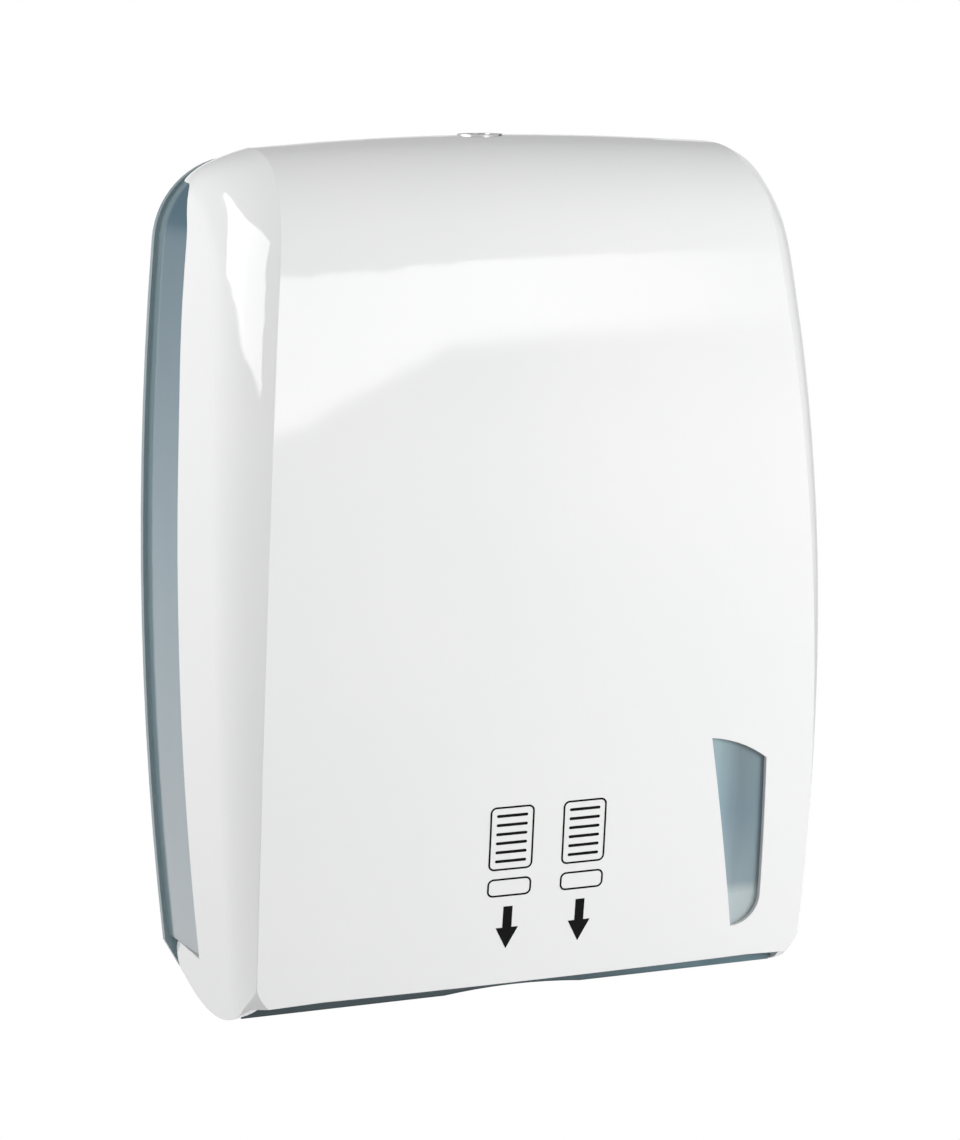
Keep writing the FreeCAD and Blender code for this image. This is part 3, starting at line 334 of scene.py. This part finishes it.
def edge_lift(point):
    """How far a point of the shell moves up, at the lower front edge."""
    low = smooth_share(point.z, EDGE_NONE_Z, EDGE_FULL_Z)
    front = smooth_share(point.y, EDGE_NONE_Y, EDGE_FULL_Y)
    return EDGE_LIFT * low * front * smooth_share(abs(point.x), EDGE_NONE_X, EDGE_FULL_X)


shell_mesh = nodes["front_cover"].data.copy()
normals = [swollen_normal(shell_mesh.vertices[loop.vertex_index].co, corner.vector)
           for loop, corner in zip(shell_mesh.loops, shell_mesh.corner_normals)]
for vertex in shell_mesh.vertices:
    vertex.co += Vector((corner_swell(vertex.co), 0.0, edge_lift(vertex.co)))
shell_mesh.normals_split_custom_set(normals)
shell = add_piece("cover_shell", shell_mesh, "cover")
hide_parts("front_cover")


# Plain pictogram on the front: two stacks of folded sheets, each with an arrow down to its outlet

COLUMN_X = (-0.018, 0.0185)
STACK_Z, STACK_WIDTH, STACK_TALL = -0.121, 0.022, 0.031
STACK_CORNER, STACK_LINE = 0.003, 0.0009
SHEETS, SHEET_PITCH = 6, 0.0044
SHEET_WIDTH, SHEET_TALL, SHEET_ROUND = 0.0155, 0.0014, 0.49
DRAWN_Z, DRAWN_TALL = -0.1450, 0.0090
ARROW_TOP = -0.1545
STEM_WIDTH, STEM_TALL = 0.0046, 0.0105
HEAD_WIDTH, HEAD_TALL = 0.0112, 0.0105
CORNER_STEPS = 5
PRINT_STEP, PRINT_RAISED, PRINT_SUNK = 0.004, 0.00008, 0.00005
RAY_START_Y = -1.0


def rounded_box(x, z, width, tall, radius):
    """Outline of an upright rounded box as (x, z) points."""
    outline = []
    for quarter, (side, up) in enumerate(((1, -1), (1, 1), (-1, 1), (-1, -1))):
        for step in range(CORNER_STEPS + 1):
            turn = math.radians(90.0 * (quarter - 1 + step / CORNER_STEPS))
            outline.append((x + side * (width / 2 - radius) + radius * math.cos(turn),
                            z + up * (tall / 2 - radius) + radius * math.sin(turn)))
    return outline


def add_area(flat, outline):
    flat.faces.new([flat.verts.new((x, 0.0, z)) for x, z in outline])


def add_ring(flat, outer, inner):
    rings = [[flat.verts.new((x, 0.0, z)) for x, z in outline] for outline in (outer, inner)]
    for index in range(len(outer)):
        after = (index + 1) % len(outer)
        flat.faces.new([rings[0][index], rings[0][after], rings[1][after], rings[1][index]])


def draw_column(flat, x):
    """One stack of sheets in its frame, the sheet drawn from it, and the arrow."""
    for z, tall in ((STACK_Z, STACK_TALL), (DRAWN_Z, DRAWN_TALL)):
        add_ring(flat, rounded_box(x, z, STACK_WIDTH, tall, STACK_CORNER),
                 rounded_box(x, z, STACK_WIDTH - 2 * STACK_LINE, tall - 2 * STACK_LINE,
                             STACK_CORNER - STACK_LINE))
    for sheet in range(SHEETS):
        z = STACK_Z + SHEET_PITCH * (sheet - (SHEETS - 1) / 2)
        add_area(flat, rounded_box(x, z, SHEET_WIDTH, SHEET_TALL, SHEET_TALL * SHEET_ROUND))
    neck = ARROW_TOP - STEM_TALL
    add_area(flat, [(x - STEM_WIDTH / 2, ARROW_TOP), (x - STEM_WIDTH / 2, neck),
                    (x - HEAD_WIDTH / 2, neck), (x, neck - HEAD_TALL),
                    (x + HEAD_WIDTH / 2, neck), (x + STEM_WIDTH / 2, neck),
                    (x + STEM_WIDTH / 2, ARROW_TOP)])


def cut_fine(flat, step):
    """Cuts flat areas into small faces, so that they can follow a bowed carrier."""
    flat.normal_update()
    bmesh.ops.triangulate(flat, faces=flat.faces[:])
    for axis in (0, 2):
        reach = [vertex.co[axis] for vertex in flat.verts]
        across = Vector((0.0, 0.0, 0.0))
        across[axis] = 1.0
        for count in range(1, math.ceil((max(reach) - min(reach)) / step)):
            bmesh.ops.bisect_plane(flat, geom=flat.verts[:] + flat.edges[:] + flat.faces[:],
                                   plane_co=across * (min(reach) + count * step),
                                   plane_no=across)


def laid_film(flat, carrier, raised, sunk):
    """Closed film of ink from flat areas, laid on the front of the carrier's mesh."""
    front = BVHTree.FromPolygons([vertex.co for vertex in carrier.vertices],
                                 [polygon.vertices for polygon in carrier.polygons])
    backward = Vector((0.0, 1.0, 0.0))
    flat.verts.index_update()
    film = bmesh.new()
    top, bottom = [], []
    for vertex in flat.verts:
        start = Vector((vertex.co.x, RAY_START_Y, vertex.co.z))
        place, outward = front.ray_cast(start, backward)[:2]
        top.append(film.verts.new(place + outward * raised))
        bottom.append(film.verts.new(place - outward * sunk))
    for face in flat.faces:
        loop = [vertex.index for vertex in face.verts]
        film.faces.new([top[index] for index in loop])
        film.faces.new([bottom[index] for index in reversed(loop)])
    for edge in flat.edges:
        if edge.is_boundary:
            start, end = (vertex.index for vertex in edge.verts)
            film.faces.new([top[start], top[end], bottom[end], bottom[start]])
    bmesh.ops.recalc_face_normals(film, faces=film.faces[:])
    mesh = bpy.data.meshes.new("front_pictogram")
    film.to_mesh(mesh)
    return mesh


areas = bmesh.new()
for column_x in COLUMN_X:
    draw_column(areas, column_x)
cut_fine(areas, PRINT_STEP)
print_mesh = laid_film(areas, shell_mesh, PRINT_RAISED, PRINT_SUNK)
pictogram = add_piece("front_pictogram", print_mesh, "cover")
pictogram.data.materials.append(print_black())


# Camera at the photograph's angle

EYE = Vector((-0.6210, -1.5934, 0.2683))
TARGET = Vector((-0.0055, -0.0700, -0.0072))
SENSOR, LENS = 36.0, 110.53

camera_data = bpy.data.cameras.new("camera")
camera_data.sensor_width = SENSOR
camera_data.lens = LENS
camera = bpy.data.objects.new("camera", camera_data)
camera.location = EYE
camera.rotation_euler = (TARGET - EYE).to_track_quat("-Z", "Y").to_euler()
scene.collection.objects.link(camera)
scene.camera = camera


# Lamps

SKIRT_NONE, SKIRT_FULL = -0.03, 0.06
DIM_START = 0.45


def softbox(name, azimuth, elevation, distance, width, tall, radiance, aim=(0.0, -0.1, 0.0),
            mirrored=True):
    """Rectangular lamp that faces the part, its azimuth measured from the front, right positive.

    A lamp that isn't mirrored gives soft light alone, and doesn't show in the gloss.
    """
    azimuth, elevation = math.radians(azimuth), math.radians(elevation)
    outward = Vector((math.sin(azimuth) * math.cos(elevation),
                      -math.cos(azimuth) * math.cos(elevation), math.sin(elevation)))
    light = bpy.data.lights.new(name, "AREA")
    light.shape = "RECTANGLE"
    light.size = width
    light.size_y = tall
    light.energy = math.pi * width * tall * radiance
    lamp = bpy.data.objects.new(name, light)
    lamp.location = Vector(aim) + outward * distance
    lamp.rotation_euler = outward.to_track_quat("Z", "Y").to_euler()
    lamp.visible_glossy = mirrored
    scene.collection.objects.link(lamp)
    return light


def sloped_skirt(light, level, slant_end, drop):
    """Masks a lamp's lower part, with a soft edge that falls to the left, and dims its right."""
    light.use_nodes = True
    tree = light.node_tree
    geometry = tree.nodes.new("ShaderNodeNewGeometry")
    place = axes(tree, geometry.outputs["Parametric"])
    edge = map_range(tree, place["X"], 0.0, slant_end, level - drop, level)
    above = combine(tree, "SUBTRACT", place["Y"], edge)
    shown = map_range(tree, above, SKIRT_NONE, SKIRT_FULL, kind="SMOOTHSTEP")
    dimmed = map_range(tree, place["X"], DIM_START, 1.0, start=1.0, end=0.0)
    strength = combine(tree, "MULTIPLY", shown, dimmed)
    tree.links.new(strength, tree.nodes["Emission"].inputs["Strength"])


softbox("key_softbox", azimuth=40, elevation=8, distance=2.2, width=1.4, tall=1.0,
        radiance=8.0, mirrored=False)
softbox("left_softbox", azimuth=-103.5, elevation=19.5, distance=1.0, width=1.036, tall=0.48,
        radiance=5.2, aim=(-0.13, -0.11, 0.13))
strip_light = softbox("strip_softbox", azimuth=23, elevation=10, distance=1.9, width=1.31,
                      tall=0.534, radiance=3.4, aim=(0.0, -0.135, 0.11))
sloped_skirt(strip_light, level=0.44, slant_end=0.34, drop=0.5)


# Floor far below the wall part, a card for the gloss, and the world

FLOOR_Z, FLOOR_HALF = -1.3, 8.0
FLOOR_GREY, FLOOR_ROUGHNESS = 0.8, 0.8
CARD_EDGES = ((0.525, 0.847), (1.146, 0.007))
CARD_LOW, CARD_HIGH = -0.7, 0.35
CARD_TONES = [(0.0, even(0.9)), (0.3, even(0.6)), (0.5, even(0.05))]
SKY_TONES = [(0.02, even(1.0)), (0.14, even(0.5)), (0.9, even(0.3))]
SEEN_WHITE, FILL = 1.0, 0.44


def add_quad(name, corners, material):
    mesh = bpy.data.meshes.new(name)
    mesh.from_pydata(corners, [], [(0, 1, 2, 3)])
    mesh.materials.append(material)
    quad = bpy.data.objects.new(name, mesh)
    scene.collection.objects.link(quad)
    return quad


def seen_white(tree, lit, glow, target):
    """Shows the glow to camera, glossy and transmission rays, and the lit shader to the others."""
    path = tree.nodes.new("ShaderNodeLightPath")
    seen = path.outputs["Is Camera Ray"]
    for output in ("Is Glossy Ray", "Is Transmission Ray"):
        seen = combine(tree, "MAXIMUM", seen, path.outputs[output])
    mix = tree.nodes.new("ShaderNodeMixShader")
    tree.links.new(seen, mix.inputs["Fac"])
    tree.links.new(lit, mix.inputs[1])
    tree.links.new(glow, mix.inputs[2])
    tree.links.new(mix.outputs["Shader"], target)


def floor_paint():
    """Pale paint, white to the camera and in reflections."""
    made, tree, shader = new_material("floor_paint", FLOOR_ROUGHNESS)
    shader.inputs["Base Color"].default_value = (*even(FLOOR_GREY), 1.0)
    glow = tree.nodes.new("ShaderNodeEmission")
    glow.inputs["Strength"].default_value = SEEN_WHITE
    seen_white(tree, shader.outputs["BSDF"], glow.outputs["Emission"],
               tree.nodes["Material Output"].inputs["Surface"])
    return made


def card_grey():
    """Grey that darkens along the card."""
    made = bpy.data.materials.new("card_grey")
    made.use_nodes = True
    tree = made.node_tree
    glow = tree.nodes.new("ShaderNodeEmission")
    across = along(tree, "X", CARD_EDGES[0][0], CARD_EDGES[1][0])
    tree.links.new(ramp(tree, across, CARD_TONES), glow.inputs["Color"])
    tree.links.new(glow.outputs["Emission"], tree.nodes["Material Output"].inputs["Surface"])
    return made


def studio():
    """World that is white round the horizon, with a greyer ceiling and an even fill."""
    made = bpy.data.worlds.new("studio")
    made.use_nodes = True
    tree = made.node_tree
    fill = tree.nodes["Background"]
    fill.inputs["Color"].default_value = (*even(1.0), 1.0)
    fill.inputs["Strength"].default_value = FILL
    place = tree.nodes.new("ShaderNodeTexCoord")
    height = axes(tree, place.outputs["Generated"])["Z"]
    sky = tree.nodes.new("ShaderNodeBackground")
    sky.inputs["Strength"].default_value = SEEN_WHITE
    tree.links.new(ramp(tree, height, SKY_TONES), sky.inputs["Color"])
    seen_white(tree, fill.outputs["Background"], sky.outputs["Background"],
               tree.nodes["World Output"].inputs["Surface"])
    return made


floor_sides = ((-1, -1), (1, -1), (1, 1), (-1, 1))
floor_corners = [(x * FLOOR_HALF, y * FLOOR_HALF, FLOOR_Z) for x, y in floor_sides]
floor = add_quad("floor", floor_corners, floor_paint())

# Only the gloss shows the card, behind the part on its right, so that the right flank stands off
# the white
(near_x, near_y), (far_x, far_y) = CARD_EDGES
card_corners = [(near_x, near_y, CARD_LOW), (far_x, far_y, CARD_LOW),
                (far_x, far_y, CARD_HIGH), (near_x, near_y, CARD_HIGH)]
card = add_quad("grey_card", card_corners, card_grey())
card.visible_camera = card.visible_diffuse = False
card.visible_transmission = card.visible_shadow = False

scene.world = studio()
scene.view_settings.view_transform = "Standard"
